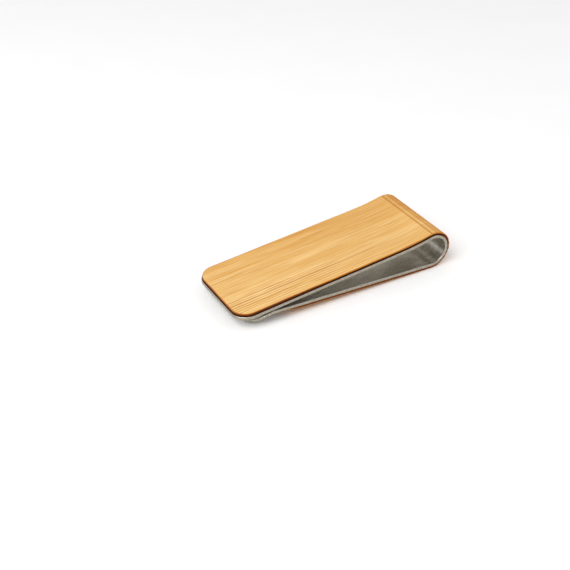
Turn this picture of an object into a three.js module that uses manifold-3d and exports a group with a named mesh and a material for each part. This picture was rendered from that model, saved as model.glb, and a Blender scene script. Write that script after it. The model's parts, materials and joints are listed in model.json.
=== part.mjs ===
// Money clip: a spring strip of stainless steel folded into a teardrop, with a wood veneer bonded
// round its outside.
// Millimetres, +Z up. It stands on z = 0, on the underside of its bend and on the tip of its lip.
// +X runs from the free ends to the bend, and the side profile is the same all across Y.
// The strip is one sheet that flexes at its bend, so each layer is two solids that part halfway round it.
import * as THREE from "three";
import { mergeVertices } from "three/addons/utils/BufferGeometryUtils.js";
import Module from "manifold-3d";

// ---- Steel strip ----
const STRIP_WIDTH = 20.8;
const STEEL = 0.7; // sheet thickness
const STEEL_CORNER = 4.0; // rounded corners of the front leaf's free end, seen from above
const LIP_CORNER = 5.0; // rounded corners of the back leaf's lip

// ---- Side profile, followed along the middle of the sheet from the front leaf's free end ----
const FRONT_FLAT = 41.7; // flat length of the front leaf
const SWELL_RADIUS = 60; // the front leaf lifts gently into the bend, which stands proud of it
const SWELL_ANGLE = 8; // degrees
const BEND_INSIDE_RADIUS = 3.4;
const CONVERGE_ANGLE = 8; // degrees by which the back leaf comes up towards the front leaf
const CREST_RADIUS = 6; // middle of the sheet, where the back leaf grips against the front leaf
const CREST_GAP = 0.3; // between the crest and the front leaf when nothing is held
const LIP_ANGLE = 28; // degrees by which the lip falls away from the front leaf
const LIP_LENGTH = 2.8; // flat length of the lip beyond the crest

// ---- Wood veneer and its adhesive film, on the outside of the strip ----
const FILM = 0.06;
const FILM_BED = 0.02; // space left on each side of the film, so that the bonded layers share no volume
const VENEER = 0.6;
const VENEER_MARGIN = 0.3; // steel left bare round the veneer
const FILM_MARGIN = 0.6; // the film stops short of the veneer's edge
const VENEER_CORNER = 3.7;
const VENEER_BACK_STOP = 2.0; // the veneer ends this far before the crest's curve

// ---- Facets, and the parting halfway round the bend ----
const SPLIT_GAP = 0.3; // measured along the middle of the sheet
const ARC_STEP = 6; // largest facet of a bend, in degrees
const CORNER_SEGMENTS = 10; // facets in each rounded corner
const TRIM_REACH = 100; // longer and taller than the whole clip

const STEEL_COLOUR = 0xc9c7c2;
const FILM_COLOUR = 0x5a3a20;
const WOOD_COLOUR = 0xecc487;

const radians = THREE.MathUtils.degToRad;
const degrees = THREE.MathUtils.radToDeg;
const BEND_RADIUS = BEND_INSIDE_RADIUS + STEEL / 2; // to the middle of the sheet
const FILM_INNER = STEEL / 2 + FILM_BED;
const VENEER_INNER = FILM_INNER + FILM + FILM_BED;
const VENEER_OUTER = VENEER_INNER + VENEER;

const wasm = await Module();
wasm.setup();

// Height that a curve of this radius gains while the strip turns between level and this slope.
function curveRise(radius, angle) {
  return radius * (1 - Math.cos(radians(angle)));
}

// Flat length of the back leaf that brings its crest up to its gap under the front leaf.
function backFlatLength() {
  const bendTop = curveRise(SWELL_RADIUS + BEND_RADIUS, SWELL_ANGLE);
  const bendBottom = bendTop - BEND_RADIUS - BEND_RADIUS * Math.cos(radians(CONVERGE_ANGLE));
  const crestFoot = -STEEL - CREST_GAP - curveRise(CREST_RADIUS, CONVERGE_ANGLE);
  return (crestFoot - bendBottom) / Math.sin(radians(CONVERGE_ANGLE));
}

// The profile as straights { length } and bends { radius, angle }, with the angle positive where the strip
// turns up from the front leaf's heading. The bend is in two halves, with the parting between them.
function profileMoves() {
  const partingAngle = degrees(SPLIT_GAP / BEND_RADIUS);
  const halfBend = (SWELL_ANGLE + 180 + CONVERGE_ANGLE - partingAngle) / 2;
  return {
    frontFlat: { length: FRONT_FLAT },
    swell: { radius: SWELL_RADIUS, angle: SWELL_ANGLE },
    frontHalfBend: { radius: BEND_RADIUS, angle: -halfBend },
    parting: { radius: BEND_RADIUS, angle: -partingAngle },
    backHalfBend: { radius: BEND_RADIUS, angle: -halfBend },
    backFlat: { length: backFlatLength() },
    crest: { radius: CREST_RADIUS, angle: CONVERGE_ANGLE + LIP_ANGLE },
    lip: { length: LIP_LENGTH },
  };
}

// Length of one move along the middle of the sheet.
function travelOf(move) {
  return move.radius ? move.radius * radians(Math.abs(move.angle)) : move.length;
}

// The station reached after following a share of a move, a straight or a bend, from where it starts.
function advance(from, move, share) {
  const turn = move.radius ? radians(move.angle) * share : 0;
  const chord = move.radius ? 2 * move.radius * Math.abs(Math.sin(turn / 2)) : move.length * share;
  return {
    x: from.x + chord * Math.cos(from.heading + turn / 2),
    z: from.z + chord * Math.sin(from.heading + turn / 2),
    heading: from.heading + turn,
    along: from.along + travelOf(move) * share,
  };
}

// Every station of the strip's middle line, in the X-Z plane, and how far along it each move ends.
function followProfile() {
  const stations = [{ x: 0, z: 0, heading: 0, along: 0 }];
  const ends = {};
  for (const [name, move] of Object.entries(profileMoves())) {
    const start = stations[stations.length - 1];
    const steps = move.radius ? Math.ceil(Math.abs(move.angle) / ARC_STEP) : 1;
    for (let step = 1; step <= steps; step++) {
      stations.push(advance(start, move, step / steps));
    }
    ends[name] = stations[stations.length - 1].along;
  }
  return { stations, ends };
}

const { stations, ends } = followProfile();
const stripEnd = ends.lip;

// The station at any distance along a straight, or exactly on a station of a bend.
function stationAt(along) {
  const after = stations.findIndex((station) => station.along >= along - 1e-9);
  if (after === 0) return stations[0];
  const from = stations[after - 1];
  const to = stations[after];
  const share = (along - from.along) / (to.along - from.along);
  return {
    x: THREE.MathUtils.lerp(from.x, to.x, share),
    z: THREE.MathUtils.lerp(from.z, to.z, share),
    heading: THREE.MathUtils.lerp(from.heading, to.heading, share),
    along,
  };
}

// A point at this height off the middle of the sheet, positive on the outside of the bend.
function offsetPoint(station, height) {
  return new THREE.Vector2(
    station.x - height * Math.sin(station.heading),
    station.z + height * Math.cos(station.heading),
  );
}

// Side outline of one layer of the strip: between two distances along it and two heights off its middle.
function layerOutline(start, end, inner, outer) {
  const within = stations.filter(({ along }) => along > start + 1e-6 && along < end - 1e-6);
  const route = [stationAt(start), ...within, stationAt(end)];
  const inside = route.map((station) => offsetPoint(station, inner));
  const outside = route.map((station) => offsetPoint(station, outer));
  return new THREE.Shape([...inside, ...outside.reverse()]);
}

// A closed geometry as a manifold-3d solid.
function toSolid(geometry) {
  const bare = geometry.clone().deleteAttribute("normal").deleteAttribute("uv");
  const merged = mergeVertices(bare);
  return new wasm.Manifold(
    new wasm.Mesh({
      numProp: 3,
      vertProperties: merged.attributes.position.array,
      triVerts: new Uint32Array(merged.index.array),
    }),
  );
}

// A manifold-3d solid as a geometry with flat faces.
function toGeometry(solid) {
  const { vertProperties, triVerts } = solid.getMesh();
  const indexed = new THREE.BufferGeometry();
  indexed.setAttribute("position", new THREE.BufferAttribute(vertProperties, 3));
  indexed.setIndex(new THREE.BufferAttribute(triVerts, 1));
  const geometry = indexed.toNonIndexed();
  geometry.computeVertexNormals();
  return geometry;
}

// A side outline swept across the strip's width.
function sweepAcross(outline, width) {
  const geometry = new THREE.ExtrudeGeometry(outline, { depth: width, bevelEnabled: false });
  return geometry.rotateX(Math.PI / 2).translate(0, width / 2, 0);
}

// A tall block with the strip's outline seen from above: two rounded corners at x = endX, open towards +X.
function endTrim(endX, width, corner) {
  const half = width / 2;
  const outline = new THREE.Shape();
  outline.moveTo(endX + TRIM_REACH, -half);
  outline.lineTo(endX + TRIM_REACH, half);
  outline.lineTo(endX + corner, half);
  outline.absarc(endX + corner, half - corner, corner, Math.PI / 2, Math.PI, false);
  outline.lineTo(endX, corner - half);
  outline.absarc(endX + corner, corner - half, corner, Math.PI, 1.5 * Math.PI, false);
  const settings = { depth: 2 * TRIM_REACH, bevelEnabled: false, curveSegments: CORNER_SEGMENTS };
  return new THREE.ExtrudeGeometry(outline, settings).translate(0, 0, -TRIM_REACH);
}

// One layer of the strip as a solid, with the corners of its free end rounded.
function layerGeometry({ start, end, inner, outer, width, corner }) {
  const swept = sweepAcross(layerOutline(start, end, inner, outer), width);
  swept.computeBoundingBox();
  const trim = endTrim(swept.boundingBox.min.x, width, corner);
  return toGeometry(toSolid(swept).intersect(toSolid(trim)));
}

function namedMesh(name, geometry, material) {
  const mesh = new THREE.Mesh(geometry, material);
  mesh.name = name;
  return mesh;
}

const steel = new THREE.MeshStandardMaterial({ color: STEEL_COLOUR, roughness: 0.35, metalness: 1 });
const film = new THREE.MeshStandardMaterial({ color: FILM_COLOUR, roughness: 0.6, metalness: 0 });
const wood = new THREE.MeshStandardMaterial({ color: WOOD_COLOUR, roughness: 0.55, metalness: 0 });

// The bare spring strip, front or back half.
function springLeaf(name, start, end, corner) {
  const heights = { inner: -STEEL / 2, outer: STEEL / 2 };
  return namedMesh(name, layerGeometry({ start, end, ...heights, width: STRIP_WIDTH, corner }), steel);
}

// The double-sided adhesive film under the veneer, front or back half.
function adhesiveFilm(name, start, end) {
  const heights = { inner: FILM_INNER, outer: FILM_INNER + FILM };
  const width = STRIP_WIDTH - 2 * FILM_MARGIN;
  const corner = VENEER_CORNER - FILM_MARGIN + VENEER_MARGIN;
  return namedMesh(name, layerGeometry({ start, end, ...heights, width, corner }), film);
}

// The wood veneer, front or back half.
function woodVeneer(name, start, end) {
  const heights = { inner: VENEER_INNER, outer: VENEER_OUTER };
  const width = STRIP_WIDTH - 2 * VENEER_MARGIN;
  return namedMesh(name, layerGeometry({ start, end, ...heights, width, corner: VENEER_CORNER }), wood);
}

function frontHalf() {
  const half = new THREE.Group();
  half.add(springLeaf("spring_front_leaf", 0, ends.frontHalfBend, STEEL_CORNER));
  half.add(adhesiveFilm("adhesive_film_front", FILM_MARGIN, ends.frontHalfBend));
  half.add(woodVeneer("wood_veneer_front", VENEER_MARGIN, ends.frontHalfBend));
  return half;
}

function backHalf() {
  const veneerEnd = ends.backFlat - VENEER_BACK_STOP;
  const filmEnd = veneerEnd - FILM_MARGIN + VENEER_MARGIN;
  const half = new THREE.Group();
  half.add(springLeaf("spring_back_leaf", ends.parting, stripEnd, LIP_CORNER));
  half.add(adhesiveFilm("adhesive_film_back", ends.parting, filmEnd));
  half.add(woodVeneer("wood_veneer_back", ends.parting, veneerEnd));
  return half;
}

// An empty that marks a place in the design, turned so that its own Z points off the strip's outside.
function marker(name, station, height) {
  const empty = new THREE.Object3D();
  const place = offsetPoint(station, height);
  empty.name = name;
  empty.position.set(place.x, 0, place.y);
  empty.rotation.y = -station.heading;
  return empty;
}

// The halves flex about an axis across the strip, in the middle of the sheet and halfway round the bend.
function flexAxis() {
  const parting = profileMoves().parting;
  return marker("bend_flex_axis", advance(stationAt(ends.frontHalfBend), parting, 0.5), 0);
}

// Middle of a flat face of the veneer, between two distances along the strip.
function faceCentre(name, start, end) {
  return marker(name, stationAt((start + end) / 2), VENEER_OUTER);
}

// How far the front leaf tips, bend end up, for the clip to stand on its bend and on its lip.
function restTilt() {
  const bendStart = stationAt(ends.swell);
  const bendCentre = offsetPoint(bendStart, -BEND_RADIUS);
  const lipTip = offsetPoint(stationAt(stripEnd), STEEL / 2);
  const across = bendCentre.clone().sub(lipTip);
  return Math.asin((BEND_RADIUS + VENEER_OUTER) / across.length()) - across.angle();
}

const profile = new THREE.Group();
profile.add(frontHalf(), backHalf(), flexAxis());
profile.add(faceCentre("front_face_centre", 0, ends.frontFlat));
profile.add(faceCentre("back_face_centre", ends.backHalfBend, ends.backFlat));
profile.rotation.y = -restTilt();

// The frame's origin is under the middle of the clip, on the surface that it stands on.
const moneyClip = new THREE.Group();
moneyClip.add(profile);
const box = new THREE.Box3().setFromObject(moneyClip, true);
profile.position.set(-(box.min.x + box.max.x) / 2, 0, -box.min.z);

export default moneyClip;
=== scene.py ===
import json
import math

import bpy
from mathutils import Matrix, Vector


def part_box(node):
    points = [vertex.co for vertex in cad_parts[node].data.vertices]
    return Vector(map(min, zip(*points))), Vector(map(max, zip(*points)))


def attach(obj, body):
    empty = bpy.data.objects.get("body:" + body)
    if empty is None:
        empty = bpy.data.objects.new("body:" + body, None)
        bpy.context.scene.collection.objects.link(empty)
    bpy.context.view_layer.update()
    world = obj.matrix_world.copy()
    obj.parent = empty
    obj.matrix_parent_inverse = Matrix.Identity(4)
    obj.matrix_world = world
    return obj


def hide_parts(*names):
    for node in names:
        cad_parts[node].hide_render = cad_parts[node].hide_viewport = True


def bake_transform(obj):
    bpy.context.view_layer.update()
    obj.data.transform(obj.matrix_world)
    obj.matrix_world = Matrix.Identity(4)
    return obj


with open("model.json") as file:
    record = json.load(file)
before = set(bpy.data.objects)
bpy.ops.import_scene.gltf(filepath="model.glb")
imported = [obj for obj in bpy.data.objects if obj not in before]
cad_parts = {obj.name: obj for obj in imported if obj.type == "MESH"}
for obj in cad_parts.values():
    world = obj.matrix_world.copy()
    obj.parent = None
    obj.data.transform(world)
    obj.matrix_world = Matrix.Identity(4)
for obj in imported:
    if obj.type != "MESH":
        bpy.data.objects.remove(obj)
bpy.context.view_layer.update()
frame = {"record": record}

MM = 0.001

# ---- Side profile of the strip, along the middle of its sheet from the front leaf's free end ----
FRONT_FLAT = 41.7
SWELL_RADIUS = 60  # the front leaf lifts gently into the bend
SWELL_ANGLE = 8
BEND_RADIUS = 3.75
CONVERGE_ANGLE = 8  # by which the back leaf comes up towards the front leaf
CREST_RADIUS = 6  # where the back leaf grips
CREST_GAP = 0.3  # between the leaves at the crest
LIP_ANGLE = 28  # by which the lip falls away
LIP_LENGTH = 2.8

# ---- Layers: heights off the middle of the sheet, positive outside, and margins inside its outline ----
STEEL = 0.7
FILM_INNER = 0.37
FILM_OUTER = 0.45
VENEER_OUTER = 1.05
FILM_MARGIN = 0.6
VENEER_MARGIN = 0.3
VENEER_BACK_STOP = 2.0  # the veneer ends this far before the crest's curve
FRONT_CORNER = 4.0  # steel corners at the front leaf's free end
LIP_CORNER = 5.0
VENEER_CORNER = 3.7
FILM_CORNER = 3.4
STEEL_ROUND = 0.14  # tumbled edges of the sheet
VENEER_ROUND = 0.05
FILM_ROUND = 0.02

# ---- Kerfs: cuts across the veneer's outside that let it follow the bend ----
FIRST_KERF_ANGLE = 7  # degrees round the bend from where it starts
KERF_ANGLE = 16  # degrees from each kerf to the next
KERF_COUNT = 12
KERF_WIDTH = 0.42  # across the mouth, on the veneer's outside
KERF_DEPTH = 0.18
KERF_FLOOR = 0.3  # the flat floor's share of the mouth

# ---- The veneer's cut edge, which wanders in a slow wave and a quick one ----
EDGE_WEAR = 0.05  # how far it wanders
WEAR_REACH = 0.3  # the wandering fades out this far inside the outline
SLOW_WAVE = 0.83  # radians in each millimetre along the strip
QUICK_WAVE = 2.9
QUICK_SWELL = 0.37  # the quick wave comes and goes at this rate
SLOW_SHIFT = 2.1  # radians by which the slow wave is shifted on each side of the strip
QUICK_SHIFT = 1.3
SLOW_SHARE = 0.35  # the quick wave has the rest

# ---- Mesh density ----
STRAIGHT_STEP = 1.0
ARC_STEP = 3.0  # degrees
CORNER_STEPS = 14
ROUND_STEPS = 4
COLUMNS = 18
RIM_BANDS = (1.0, 0.6, 0.35, 0.2)  # rows of faces that follow the outline, by distance inside it
SHARP_ANGLE = 38  # degrees; edges sharper than this aren't shaded smooth
COINCIDENT = 1e-4  # stations closer than this are one
PLACE_DIGITS = 7  # decimals to which two places are the same point

# ---- Each layer is parted at two flat places into three pieces ----
FRONT_CUT = 39.5
BACK_CUT_PAST_BEND = 8.0
BLEND_TOP = 0.0064  # metres above the floor, of a point over the middle of the bend
BLEND_BOTTOM = 0.0023  # and of a lower point


def profile_moves():
    """The straights and bends as (length, turn) from the front leaf's free end, with a turn up positive."""
    swell = math.radians(SWELL_ANGLE)
    converge = math.radians(CONVERGE_ANGLE)
    crest = converge + math.radians(LIP_ANGLE)
    bend = swell + math.pi + converge
    bend_top = (SWELL_RADIUS + BEND_RADIUS) * (1 - math.cos(swell))
    bend_bottom = bend_top - BEND_RADIUS * (1 + math.cos(converge))
    crest_foot = -STEEL - CREST_GAP - CREST_RADIUS * (1 - math.cos(converge))
    return {
        "front_flat": (FRONT_FLAT, 0.0),
        "swell": (SWELL_RADIUS * swell, swell),
        "bend": (BEND_RADIUS * bend, -bend),
        "back_flat": ((crest_foot - bend_bottom) / math.sin(converge), 0.0),
        "crest": (CREST_RADIUS * crest, crest),
        "lip": (LIP_LENGTH, 0.0),
    }


MOVES = profile_moves()
STARTS = {}
STRIP_END = 0.0
for move_name, (move_length, _) in MOVES.items():
    STARTS[move_name] = STRIP_END
    STRIP_END += move_length

VENEER_END = STARTS["crest"] - VENEER_BACK_STOP
BACK_CUT = STARTS["back_flat"] + BACK_CUT_PAST_BEND


def station_at(along):
    """Where the middle of the sheet is at this distance along it, as (x, z, heading)."""
    x = z = heading = 0.0
    left = along
    for length, turn in MOVES.values():
        step = min(left, length)
        part = turn * step / length
        chord = step * math.sin(part / 2) / (part / 2) if part else step
        x += chord * math.cos(heading + part / 2)
        z += chord * math.sin(heading + part / 2)
        heading += part
        left -= step
        if left <= 0:
            break
    return x, z, heading


def part_from_profile():
    """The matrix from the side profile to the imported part, whose front face mount gives place and tilt."""
    mount = next(m for m in frame["record"]["mounts"] if m["name"] == "front_face")
    normal = Vector(mount["axis"])
    turned = Matrix.Rotation(math.atan2(normal.x, normal.z), 4, "Y")
    face_centre = Vector((FRONT_FLAT / 2, 0, VENEER_OUTER)) * MM
    return Matrix.Translation(Vector(mount["pos_m"]) - turned @ face_centre) @ turned


TO_PART = part_from_profile()


def strip_point(along, across, height):
    """A place on the strip, in millimetres along, across and off its middle, as a point in the frame."""
    x, z, heading = station_at(along)
    local = Vector((x - height * math.sin(heading), across, z + height * math.cos(heading)))
    return TO_PART @ (local * MM)


# ---------------------------------------------------------------- meshes

# The kerfs' places and half width, along the middle of the sheet.
FIRST_KERF = STARTS["bend"] + BEND_RADIUS * math.radians(FIRST_KERF_ANGLE)
KERF_PITCH = BEND_RADIUS * math.radians(KERF_ANGLE)
KERFS = [FIRST_KERF + KERF_PITCH * number for number in range(KERF_COUNT)]
KERF_HALF = KERF_WIDTH / 2 * BEND_RADIUS / (BEND_RADIUS + VENEER_OUTER)


def kerf_floor(along, height):
    """The height that the kerfs leave of a point of the veneer: a V with a narrow flat floor."""
    nearest = min(abs(along - place) for place in KERFS)
    share = min(1.0, (KERF_HALF - nearest) / (KERF_HALF * (1 - KERF_FLOOR)))
    return min(height, VENEER_OUTER - KERF_DEPTH * share) if share > 0 else height


def edge_wear(along, column):
    """How far the veneer's cut edge has wandered inwards here, differently on each side of the strip."""
    slow = math.sin(SLOW_WAVE * along + SLOW_SHIFT * column)
    quick = math.sin(QUICK_WAVE * along - QUICK_SHIFT * column) * math.sin(QUICK_SWELL * along + column)
    return EDGE_WEAR * max(0.0, SLOW_SHARE * slow + (1 - SLOW_SHARE) * quick)


def even_steps(start, end, step):
    """Evenly spaced places from start to end, no further apart than step."""
    count = max(1, math.ceil((end - start) / step))
    return [start + (end - start) * number / count for number in range(count + 1)]


def along_steps(start, end):
    """Distances along the strip between two places, closer together round the bend and the crest."""
    places = {start, end}
    for name, (length, turn) in MOVES.items():
        tight = name in ("bend", "crest")
        step = length * math.radians(ARC_STEP) / abs(turn) if tight else STRAIGHT_STEP
        first, last = STARTS[name], STARTS[name] + length
        places.update(p for p in even_steps(first, last, step) if start < p < end)
    for kerf in KERFS:
        places.update(kerf + KERF_HALF * share for share in (-1, -KERF_FLOOR, KERF_FLOOR, 1))
    places.update((FRONT_CUT, BACK_CUT))
    ordered = sorted(places)
    kept = [ordered[0]]
    for place in ordered[1:]:
        if place - kept[-1] > COINCIDENT:
            kept.append(place)
    return kept


class Layer:
    """One layer of the strip: its outline seen from above, its two faces and how its edges are rounded."""

    def __init__(self, start, end, margin, corners, heights, rounding, kerfed=False):
        self.start, self.end = start, end
        low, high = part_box("spring_front_leaf")
        self.half = (high.y - low.y) / MM / 2 - margin
        self.front_corner, self.back_corner = corners
        self.inner, self.outer = heights
        self.rounding = rounding
        self.kerfed = kerfed
        self.columns = [-1 + 2 * number / COLUMNS for number in range(COLUMNS + 1)]
        self.rim = self.rim_section()
        self.stations = self.all_stations()

    def rim_section(self):
        """(inset, height) round the edge, from the outer face to the inner face."""
        outer_bands = [(band, self.outer) for band in RIM_BANDS]
        inner_bands = [(band, self.inner) for band in reversed(RIM_BANDS)]
        outer_arc, inner_arc = [], []
        for step in range(ROUND_STEPS + 1):
            angle = math.pi / 2 * step / ROUND_STEPS
            inset = self.rounding * (1 - math.sin(angle))
            drop = self.rounding * (1 - math.cos(angle))
            outer_arc.append((inset, self.outer - drop))
            inner_arc.insert(0, (inset, self.inner + drop))
        return outer_bands + outer_arc + inner_arc + inner_bands

    def all_stations(self):
        """Stations as (pivot, corner, along_share, across_share), which rim_place turns into points."""
        front, back = self.front_corner, self.back_corner
        angles = [math.pi / 2 * step / CORNER_STEPS for step in range(CORNER_STEPS)]
        at_front = [(self.start + front, front, -math.cos(a), math.sin(a)) for a in angles]
        at_back = [(self.end - back, back, math.cos(a), math.sin(a)) for a in reversed(angles)]
        straight = [(p, front, 0.0, 1.0) for p in along_steps(self.start + front, self.end - back)]
        return at_front + straight + at_back

    def rim_place(self, station, inset):
        """(distance along, half width) of the outline moved in by inset, at one station."""
        pivot, corner, along_share, across_share = station
        reach = corner - inset
        return pivot + reach * along_share, self.half - corner + reach * across_share

    def place(self, station, column, ring):
        """(along, across, height, inset) of one point. Column runs from -1 to 1 across the strip."""
        inset, height = self.rim[ring]
        along, half = self.rim_place(station, inset)
        if self.kerfed:
            height = kerf_floor(along, height)
            worn = edge_wear(along, column) * max(0.0, 1 - inset / WEAR_REACH)
            along, half = self.rim_place(station, inset + worn)
        return along, half * column, height, inset

    def section(self, station):
        """The closed loop of points round the strip's section at one station."""
        last = len(self.rim) - 1
        over = [self.place(station, column, 0) for column in self.columns]
        down = [self.place(station, 1, ring) for ring in range(1, last)]
        under = [self.place(station, column, last) for column in reversed(self.columns)]
        up = [self.place(station, -1, ring) for ring in range(last - 1, 0, -1)]
        return over + down + under + up

    def end_rows(self, station):
        """Rows of points across the strip that close its free end, one row for each ring of the rim."""
        return [
            [self.place(station, column, ring) for column in self.columns]
            for ring in range(len(self.rim))
        ]


def loft_faces(sections):
    """Quads between each closed loop of points and the next."""
    faces = []
    for near, far in zip(sections, sections[1:]):
        for number in range(len(near)):
            after = (number + 1) % len(near)
            faces.append((near[number], far[number], far[after], near[after]))
    return faces


def grid_faces(rows, flipped):
    """Quads of an open grid of points."""
    faces = []
    for low, high in zip(rows, rows[1:]):
        for left in range(len(low) - 1):
            quad = (low[left], low[left + 1], high[left + 1], high[left])
            faces.append(tuple(reversed(quad)) if flipped else quad)
    return faces


def layer_faces(layer, start, end):
    """The faces of the stretch of a layer between two distances along it, closed at both ends."""
    stretch = [station for station in layer.stations if start <= station[0] <= end]
    sections = [layer.section(station) for station in stretch]
    faces = loft_faces(sections)
    if start <= layer.start:
        faces += grid_faces(layer.end_rows(stretch[0]), flipped=False)
    else:
        faces.append(tuple(sections[0]))
    if end >= layer.end:
        faces += grid_faces(layer.end_rows(stretch[-1]), flipped=True)
    else:
        faces.append(tuple(reversed(sections[-1])))
    return faces


def mesh_object(name, faces, material):
    """A smooth mesh of faces with (along, across, height, inset) corners, kept for the materials to read."""
    places, corners = {}, []
    for face in faces:
        keys = [tuple(round(value, PLACE_DIGITS) for value in place) for place in face]
        corners.append([places.setdefault(key, len(places)) for key in keys])
    mesh = bpy.data.meshes.new(name)
    mesh.from_pydata([strip_point(*p[:3]) for p in places], [], corners)
    on_strip = mesh.attributes.new("on_strip", "FLOAT_VECTOR", "POINT")
    on_strip.data.foreach_set("vector", [v for p in places for v in p[:3]])
    inset = mesh.attributes.new("inset", "FLOAT", "POINT")
    inset.data.foreach_set("value", [p[3] for p in places])
    mesh.polygons.foreach_set("use_smooth", [True] * len(mesh.polygons))
    mesh.set_sharp_from_angle(angle=math.radians(SHARP_ANGLE))
    mesh.materials.append(material)
    piece = bpy.data.objects.new(name, mesh)
    bpy.context.scene.collection.objects.link(piece)
    return piece


def bend_point(height):
    """A point over or under the middle of the bend, at this height in metres."""
    x, z, _ = station_at(STARTS["bend"] + MOVES["bend"][0] / 2)
    middle = TO_PART @ (Vector((x, 0, z)) * MM)
    return middle.x, 0.0, height


def dress_layer(name, layer, material, front_node, back_node):
    """Makes a layer's three pieces: one on each leaf, and the bend between them."""
    front = mesh_object(name + "_front", layer_faces(layer, layer.start, FRONT_CUT), material)
    bend = mesh_object(name + "_bend", layer_faces(layer, FRONT_CUT, BACK_CUT), material)
    back = mesh_object(name + "_back", layer_faces(layer, BACK_CUT, layer.end), material)
    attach(front, "front_leaf")
    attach(back, "back_leaf")
    bend_point(BLEND_TOP)
    bend_point(BLEND_BOTTOM)
    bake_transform(bend)
    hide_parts(front_node)
    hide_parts(front_node, back_node)
    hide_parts(back_node)


# ---------------------------------------------------------------- materials

def colour(red, green, blue):
    """An sRGB colour of 8-bit values as linear RGBA."""
    def linear(value):
        share = value / 255
        return share / 12.92 if share <= 0.04045 else ((share + 0.055) / 1.055) ** 2.4
    return linear(red), linear(green), linear(blue), 1.0


# ---- Colours ----
WOOD = colour(224, 178, 108)
WOOD_PALE = colour(234, 195, 131)
WOOD_BAND = colour(214, 162, 86)
STREAK_PALE = colour(243, 212, 156)
STREAK_DARK = colour(204, 146, 70)
FIBRE_DARK = colour(194, 136, 64)
FLECK_DARK = colour(172, 108, 50)
LINE_PALE = colour(244, 214, 158)
LINE_DARK = colour(170, 104, 46)
VEIN_DARK = colour(176, 112, 50)
WARM_TINT = colour(240, 222, 196)
# partly the kerfs' real scorch and partly painted shade, where the bend's face turns away from the light
SCORCH_AND_SHADE_TINT = colour(246, 226, 190)
KERF_BROWN = colour(176, 114, 44)
FRINGE_BROWN = colour(160, 84, 22)
BURNT_AMBER = colour(204, 130, 40)
BURNT_BROWN = colour(134, 66, 14)
BURNT_BLACK = colour(72, 30, 6)
STEEL_DULL = colour(196, 191, 181)
STEEL_BRIGHT = colour(216, 212, 204)
CUT_DULL = colour(150, 141, 124)
CUT_BRIGHT = colour(184, 176, 160)
# painted shade: the darker steel ledge in the corner beside the veneer's side
PAINTED_LEDGE_SHADE = colour(84, 52, 30)
FILM_DARK = colour(50, 24, 8)
FILM_PALE = colour(76, 40, 16)
FLOOR_DULL = colour(249, 249, 249)
FLOOR_BRIGHT = colour(252, 252, 252)

# ---- Places of the veneer's marks, in millimetres. The near side of the strip is negative. ----
# A band starts at the first place, is whole from the second to the third, and has ended at the fourth.
# A change goes from the first place to the second.
NEAR_BAND = (-9.6, -8.4, -4.0, -3.0)  # across: the denser fine lines beside the near edge
NEAR_BAND_FADES = (16, 32)  # along
FAR_BAND = (2.6, 3.2, 4.4, 5.2)  # across: the narrower denser band on the far side
FAR_BAND_FADES = (8, 15)  # along
DENSE_PITCH = 0.72  # across: from each fine dark line to the next
VEIN = (-6.1, -5.8, -5.6, -5.3)  # across: one darker streak in the near band
VEIN_FADES = (34, 46)  # along
WARMS_ACROSS = (-2.0, 10.0)  # the wood is warmer towards the far side
WARMS_ALONG = (-20, 50)  # and towards the bend
# The bend's browner tint is partly real scorch from the kerfs and partly painted shade where its face turns
# away from the light.
SCORCH_AND_SHADE_ALONG = (KERFS[1] - 0.3, KERFS[1] + 0.8)  # along: the bend is browner past its second kerf
KERF_SCORCH = (KERF_HALF * 0.4, KERF_HALF * 1.5)  # off a kerf's middle, from brown to clear
FRINGE_NARROWS = (14, 26)  # along: the smoke beside the cut edge is wider at the free end
PAUSE = (41.9, 42.2, 46.5, 46.8)  # along: where the cutting slowed and left more smoke
PAUSE_ENDS = (-1, 0)  # across
CUT_FACE = 0.03  # the veneer's cut side blends into its faces over this inset

# ---- Depths of the burnt colours on the veneer's cut side, in millimetres under its outer face ----
AMBER_DEPTHS = (-0.16, 0.12)  # of the amber, at the free end and past its change
AMBER_CHANGES = (15, 25)  # along
AMBER_BLEND = 0.14  # from amber to brown
AMBER_LOST = -0.2  # added to its depth round the bend
AMBER_GOES = (STARTS["bend"] + 1, STARTS["bend"] + 6)  # along
BLACK_DEPTHS = (0.16, 0.42)  # where brown goes over to nearly black

MIX_A, MIX_B, MIX_RESULT = 6, 7, 2  # the colour sockets of a Mix node


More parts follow.
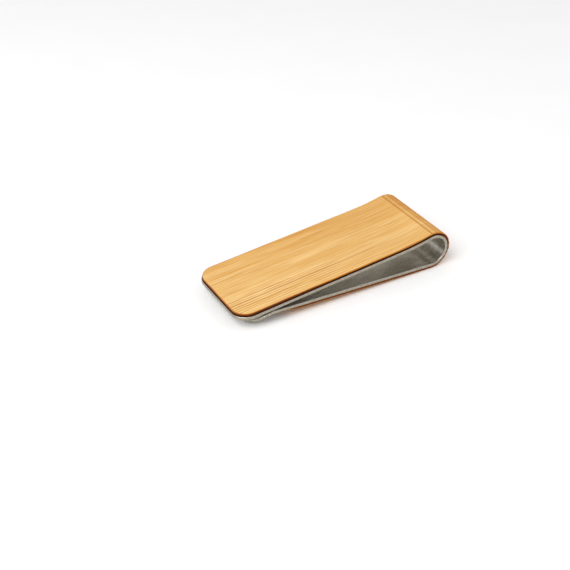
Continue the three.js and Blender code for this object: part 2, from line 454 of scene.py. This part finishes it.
class Nodes:
    """A short way to write a material's node tree."""

    def __init__(self, name):
        self.material = bpy.data.materials.new(name)
        self.material.use_nodes = True
        self.tree = self.material.node_tree
        self.tree.nodes.clear()
        self.shader = self.add("ShaderNodeBsdfPrincipled")
        output = self.add("ShaderNodeOutputMaterial")
        self.tree.links.new(self.shader.outputs["BSDF"], output.inputs["Surface"])

    def add(self, kind, **settings):
        node = self.tree.nodes.new(kind)
        for key, value in settings.items():
            setattr(node, key, value)
        return node

    def put(self, socket, value):
        """Links an output to a socket, or sets the socket's own value."""
        if isinstance(value, bpy.types.NodeSocket):
            self.tree.links.new(value, socket)
        else:
            socket.default_value = value

    def attribute(self, name, output):
        return self.add("ShaderNodeAttribute", attribute_name=name).outputs[output]

    def split(self, vector):
        """A vector's three parts."""
        node = self.add("ShaderNodeSeparateXYZ")
        self.put(node.inputs[0], vector)
        return node.outputs

    def math(self, operation, first, second=0.0):
        node = self.add("ShaderNodeMath", operation=operation)
        self.put(node.inputs[0], first)
        self.put(node.inputs[1], second)
        return node.outputs[0]

    def times(self, first, *others):
        product = first
        for other in others:
            product = self.math("MULTIPLY", product, other)
        return product

    def ramp(self, value, low, high, at_low=0.0, at_high=1.0):
        """A smooth change from at_low to at_high as the value goes from low to high."""
        node = self.add("ShaderNodeMapRange", interpolation_type="SMOOTHSTEP", clamp=True)
        self.put(node.inputs["Value"], value)
        self.put(node.inputs["From Min"], low)
        self.put(node.inputs["From Max"], high)
        self.put(node.inputs["To Min"], at_low)
        self.put(node.inputs["To Max"], at_high)
        return node.outputs["Result"]

    def within(self, value, start, rise, fall, end):
        """1 between rise and fall, fading to 0 at start and at end."""
        return self.times(self.ramp(value, start, rise), self.ramp(value, fall, end, 1, 0))

    def mix(self, share, first, second, blend="MIX"):
        """A mix of two colours."""
        node = self.add("ShaderNodeMix", data_type="RGBA", blend_type=blend)
        self.put(node.inputs["Factor"], share)
        self.put(node.inputs[MIX_A], first)
        self.put(node.inputs[MIX_B], second)
        return node.outputs[MIX_RESULT]

    def tinted(self, share, base, tint):
        """A colour multiplied by a tint, as far as share says."""
        return self.mix(share, base, self.mix(1.0, base, tint, "MULTIPLY"))

    def scaled(self, vector, scale, offset=(0, 0, 0)):
        """A vector for a noise texture, in cycles for each millimetre along, across and off the strip."""
        node = self.add("ShaderNodeMapping")
        self.put(node.inputs["Vector"], vector)
        node.inputs["Scale"].default_value = scale
        node.inputs["Location"].default_value = offset
        return node.outputs["Vector"]

    def noise(self, vector, scale=1.0, detail=2.0, roughness=0.5):
        node = self.add("ShaderNodeTexNoise")
        self.put(node.inputs["Vector"], vector)
        node.inputs["Scale"].default_value = scale
        node.inputs["Detail"].default_value = detail
        node.inputs["Roughness"].default_value = roughness
        return node.outputs["Fac"]

    def bump(self, height, strength, distance):
        node = self.add("ShaderNodeBump")
        self.put(node.inputs["Height"], height)
        node.inputs["Strength"].default_value = strength
        node.inputs["Distance"].default_value = distance
        return node.outputs["Normal"]

    def set(self, **values):
        for key, value in values.items():
            self.put(self.shader.inputs[key.replace("_", " ")], value)

    def set_specular(self, level):
        self.shader.inputs["Specular IOR Level"].default_value = level


def dense_lines(n, place, along, across, fibre):
    """The two denser bands of fine lines, which fade away from the free end, as (dark, light) shares."""
    near_band = n.times(n.within(across, *NEAR_BAND), n.ramp(along, *NEAR_BAND_FADES, 1, 0.25))
    far_band = n.times(n.within(across, *FAR_BAND), n.ramp(along, *FAR_BAND_FADES, 0.7, 0))
    bands = n.math("MAXIMUM", near_band, far_band)
    drift = n.times(n.noise(n.scaled(place, (0.04, 0.5, 0)), detail=1), 0.3)
    ridges = n.math("SINE", n.times(n.math("ADD", across, drift), math.tau / DENSE_PITCH))
    broken = n.ramp(n.noise(n.scaled(place, (0.14, 1.6, 0), (2, 8, 0))), 0.38, 0.58, 0.2, 1)
    strength = n.times(bands, broken, n.ramp(fibre, 0.36, 0.60, 0.5, 1.1))
    dark = n.times(strength, n.ramp(ridges, 0.1, 0.9, 0, 0.66))
    light = n.times(strength, n.ramp(ridges, -0.9, 0.0, 0.7, 0))
    return dark, light


def bamboo_grain(n, place, along, across):
    """The veneer's own colour, of straight broken streaks of several widths, and its finest fibres."""
    broad = n.noise(n.scaled(place, (0.012, 0.30, 0), (0, 2.6, 0)), detail=2)
    band = n.noise(n.scaled(place, (0.035, 1.0, 0), (3, 1, 0)), detail=3, roughness=0.6)
    streak = n.noise(n.scaled(place, (0.06, 3.0, 0), (7, 5, 0)), detail=3, roughness=0.6)
    fibre = n.noise(n.scaled(place, (0.10, 9, 0), (1, 9, 0)), detail=3, roughness=0.6)
    fleck = n.noise(n.scaled(place, (0.12, 4.6, 0), (5, 2, 0)), detail=2)
    base = n.mix(n.ramp(broad, 0.36, 0.64), WOOD, WOOD_PALE)
    base = n.mix(n.ramp(band, 0.42, 0.64, 0, 0.5), base, WOOD_BAND)
    base = n.mix(n.ramp(streak, 0.32, 0.48, 0.45, 0), base, STREAK_PALE)
    base = n.mix(n.ramp(streak, 0.52, 0.66, 0, 0.5), base, STREAK_DARK)
    base = n.mix(n.ramp(fibre, 0.48, 0.68, 0, 0.5), base, FIBRE_DARK)
    base = n.mix(n.ramp(fleck, 0.56, 0.70, 0, 0.25), base, FLECK_DARK)
    dark_lines, light_lines = dense_lines(n, place, along, across, fibre)
    base = n.mix(light_lines, base, LINE_PALE)
    base = n.mix(dark_lines, base, LINE_DARK)
    vein = n.times(n.within(across, *VEIN), n.ramp(along, *VEIN_FADES, 0.5, 0))
    base = n.mix(n.times(vein, n.ramp(streak, 0.3, 0.5, 0.4, 1)), base, VEIN_DARK)
    warm = n.times(n.ramp(across, *WARMS_ACROSS), n.ramp(along, *WARMS_ALONG, 0, 0.7))
    return n.tinted(warm, base, WARM_TINT), fibre


def kerf_scorch(n, along):
    """How near a point is to the middle of a kerf, from 0 to 1, anywhere round the bend."""
    from_first = n.math("SUBTRACT", along, FIRST_KERF - KERF_PITCH / 2)
    from_last_passed = n.math("MODULO", from_first, KERF_PITCH)
    from_nearest = n.math("ABSOLUTE", n.math("SUBTRACT", from_last_passed, KERF_PITCH / 2))
    near = n.ramp(from_nearest, *KERF_SCORCH, 1, 0)
    after_first = n.math("GREATER_THAN", from_first, 0.0)
    before_last = n.math("LESS_THAN", from_first, KERF_PITCH * KERF_COUNT)
    return n.times(near, after_first, before_last)


def smoke_fringe(n, place, along, across, inset):
    """The browner veneer beside its cut edge, wider at the free end and where the cutting slowed."""
    patch = n.noise(n.scaled(place, (0.45, 0.45, 0.45)), detail=2)
    smoke = n.times(n.ramp(patch, 0.35, 0.65, 0.13, 0.26), n.ramp(along, *FRINGE_NARROWS, 1.4, 0.7))
    pause = n.times(n.within(along, *PAUSE), n.ramp(across, *PAUSE_ENDS, 0.12, 0))
    return n.ramp(inset, 0.0, n.math("ADD", smoke, pause), 0.9, 0)


def burnt_side(n, place, along, height):
    """The cut side of the veneer: amber under the top face, then brown, and nearly black beside the film."""
    char = n.noise(n.scaled(place, (0.9, 0.9, 2.0)), detail=3)
    amber = n.math("ADD", n.ramp(along, *AMBER_CHANGES, *AMBER_DEPTHS), n.times(char, 0.2))
    amber = n.math("ADD", amber, n.ramp(along, *AMBER_GOES, 0, AMBER_LOST))
    depth = n.math("SUBTRACT", VENEER_OUTER, height)
    side = n.mix(n.ramp(depth, amber, n.math("ADD", amber, AMBER_BLEND)), BURNT_AMBER, BURNT_BROWN)
    return n.mix(n.ramp(depth, *BLACK_DEPTHS, 0, 0.9), side, BURNT_BLACK)


def bamboo_material():
    """Bamboo veneer: fine straight fibres along the strip, and a laser-cut edge burnt from amber to black."""
    n = Nodes("bamboo_veneer")
    place = n.attribute("on_strip", "Vector")
    inset = n.attribute("inset", "Fac")
    along, across, height = n.split(place)
    base, fibre = bamboo_grain(n, place, along, across)
    # Painted shade and real scorch: the bend is browner past its second kerf.
    base = n.tinted(n.ramp(along, *SCORCH_AND_SHADE_ALONG, 0, 0.9), base, SCORCH_AND_SHADE_TINT)
    base = n.mix(n.times(kerf_scorch(n, along), 0.65), base, KERF_BROWN)
    base = n.mix(smoke_fringe(n, place, along, across, inset), base, FRINGE_BROWN)
    base = n.mix(n.ramp(inset, 0.0, CUT_FACE, 1, 0), base, burnt_side(n, place, along, height))
    n.set(Base_Color=base, Roughness=n.ramp(fibre, 0.3, 0.7, 0.5, 0.62), Normal=n.bump(fibre, 0.3, 0.00003))
    n.set_specular(0.06)
    return n.material


def steel_material():
    """Spring steel: fine brushing along its faces, duller cut edges, and painted shade on its ledge beside
    the veneer.
    """
    n = Nodes("spring_steel")
    place = n.attribute("on_strip", "Vector")
    inset = n.attribute("inset", "Fac")
    along, _, height = n.split(place)
    brushed = n.noise(n.scaled(place, (0.35, 24, 24)), detail=3, roughness=0.6)
    cloud = n.noise(n.scaled(place, (0.12, 0.25, 0.25)), detail=2)
    cut_marks = n.noise(n.scaled(place, (7, 7, 0.8)), detail=2)
    cut = n.ramp(inset, 0.0, STEEL_ROUND * 0.6, 1, 0)
    face = n.mix(n.ramp(cloud, 0.3, 0.7), STEEL_DULL, STEEL_BRIGHT)
    on_outside = n.math("GREATER_THAN", height, STEEL / 2 - STEEL_ROUND / 4)
    beside_veneer = n.math("LESS_THAN", along, VENEER_END)
    off_the_edge = n.ramp(inset, VENEER_MARGIN * 0.4, VENEER_MARGIN * 0.8)
    # Painted shade: the steel's outer face darkens towards the veneer, in the corner where the veneer's side
    # shades it.
    face = n.mix(n.times(on_outside, off_the_edge, beside_veneer), face, PAINTED_LEDGE_SHADE)
    edge = n.mix(n.ramp(cut_marks, 0.35, 0.65), CUT_DULL, CUT_BRIGHT)
    grain = n.mix(cut, brushed, cut_marks)
    roughness = n.math("ADD", n.ramp(brushed, 0.3, 0.7, 0.22, 0.36), n.times(cut, 0.16))
    n.set(Base_Color=n.mix(cut, face, edge), Roughness=roughness, Normal=n.bump(grain, 0.25, 0.00002))
    n.shader.inputs["Metallic"].default_value = 1.0
    return n.material


def film_material():
    """The thin dark line of adhesive film between the steel and the veneer."""
    n = Nodes("adhesive_film")
    place = n.attribute("on_strip", "Vector")
    mottle = n.noise(n.scaled(place, (1.5, 1.5, 8)), detail=3)
    base = n.mix(n.ramp(mottle, 0.3, 0.7), FILM_DARK, FILM_PALE)
    n.set(Base_Color=base, Roughness=n.ramp(mottle, 0.3, 0.7, 0.6, 0.75))
    n.set_specular(0.06)
    return n.material


def floor_material():
    """A plain pale studio floor."""
    n = Nodes("studio_floor")
    texture = n.add("ShaderNodeTexCoord")
    grain = n.noise(texture.outputs["Object"], scale=60, detail=3)
    n.set(Base_Color=n.mix(grain, FLOOR_DULL, FLOOR_BRIGHT), Roughness=0.9)
    n.set_specular(0.1)
    return n.material


# ---------------------------------------------------------------- the clip

def make_clip():
    """The three layers: steel strip, adhesive film and bamboo veneer."""
    steel = Layer(0.0, STRIP_END, 0.0, (FRONT_CORNER, LIP_CORNER), (-STEEL / 2, STEEL / 2), STEEL_ROUND)
    film = Layer(
        FILM_MARGIN, VENEER_END - FILM_MARGIN + VENEER_MARGIN, FILM_MARGIN,
        (FILM_CORNER, FILM_CORNER), (FILM_INNER, FILM_OUTER), FILM_ROUND,
    )
    veneer = Layer(
        VENEER_MARGIN, VENEER_END, VENEER_MARGIN,
        (VENEER_CORNER, VENEER_CORNER), (FILM_OUTER, VENEER_OUTER), VENEER_ROUND, kerfed=True,
    )
    dress_layer("spring_strip", steel, steel_material(),
                "spring_front_leaf", "spring_back_leaf")
    dress_layer("adhesive_line", film, film_material(),
                "adhesive_film_front", "adhesive_film_back")
    dress_layer("bamboo_veneer", veneer, bamboo_material(),
                "wood_veneer_front", "wood_veneer_back")


# ---------------------------------------------------------------- studio

# Metres and degrees. An azimuth of 0 looks along +Y, and the camera looks at the place that it aims at.
CAMERA_AIM = (-0.00992, 0.00093, 0.0)
CAMERA_DISTANCE = 0.23083
CAMERA_AZIMUTH = -30.65
CAMERA_ELEVATION = 34.77
CAMERA_ROLL = -0.36  # the camera's clockwise lean
CAMERA_LENS = 64.3  # millimetres
CAMERA_SENSOR = 36  # millimetres
CAMERA_CLIP = 0.01
FLOOR_SIZE = 1.6
WORLD_STRENGTH = 0.6


def direction(azimuth, elevation):
    """The unit vector towards a place seen at this azimuth and elevation, from the object."""
    a, e = math.radians(azimuth), math.radians(elevation)
    return Vector((math.sin(a) * math.cos(e), -math.cos(a) * math.cos(e), math.sin(e)))


def make_camera():
    data = bpy.data.cameras.new("camera")
    data.lens = CAMERA_LENS
    data.sensor_width = CAMERA_SENSOR
    data.clip_start = CAMERA_CLIP
    camera = bpy.data.objects.new("camera", data)
    bpy.context.scene.collection.objects.link(camera)
    back = direction(CAMERA_AZIMUTH, CAMERA_ELEVATION)
    lean = Matrix.Rotation(math.radians(-CAMERA_ROLL), 3, "Z").to_quaternion()
    camera.location = Vector(CAMERA_AIM) + back * CAMERA_DISTANCE
    camera.rotation_mode = "QUATERNION"
    camera.rotation_quaternion = back.to_track_quat("Z", "Y") @ lean
    bpy.context.scene.camera = camera


def area_light(name, azimuth, elevation, distance, size, power):
    data = bpy.data.lights.new(name, "AREA")
    data.shape = "DISK"
    data.size = size
    data.energy = power
    light = bpy.data.objects.new(name, data)
    bpy.context.scene.collection.objects.link(light)
    towards = direction(azimuth, elevation)
    light.location = towards * distance
    light.rotation_mode = "QUATERNION"
    light.rotation_quaternion = towards.to_track_quat("Z", "Y")


def make_floor():
    half = FLOOR_SIZE / 2
    mesh = bpy.data.meshes.new("studio_floor")
    corners = [(-half, -half, 0), (half, -half, 0), (half, half, 0), (-half, half, 0)]
    mesh.from_pydata(corners, [], [(0, 1, 2, 3)])
    mesh.materials.append(floor_material())
    floor = bpy.data.objects.new("studio_floor", mesh)
    bpy.context.scene.collection.objects.link(floor)


def make_studio():
    world = bpy.data.worlds.new("studio")
    world.use_nodes = True
    background = world.node_tree.nodes["Background"]
    background.inputs["Color"].default_value = (1.0, 1.0, 1.0, 1.0)
    background.inputs["Strength"].default_value = WORLD_STRENGTH
    bpy.context.scene.world = world
    area_light("key", azimuth=-70, elevation=50, distance=0.6, size=0.45, power=2.5)
    area_light("fill", azimuth=60, elevation=40, distance=0.7, size=0.5, power=0.6)
    make_floor()
    bpy.context.scene.view_settings.view_transform = "Standard"


make_camera()
make_studio()
make_clip()
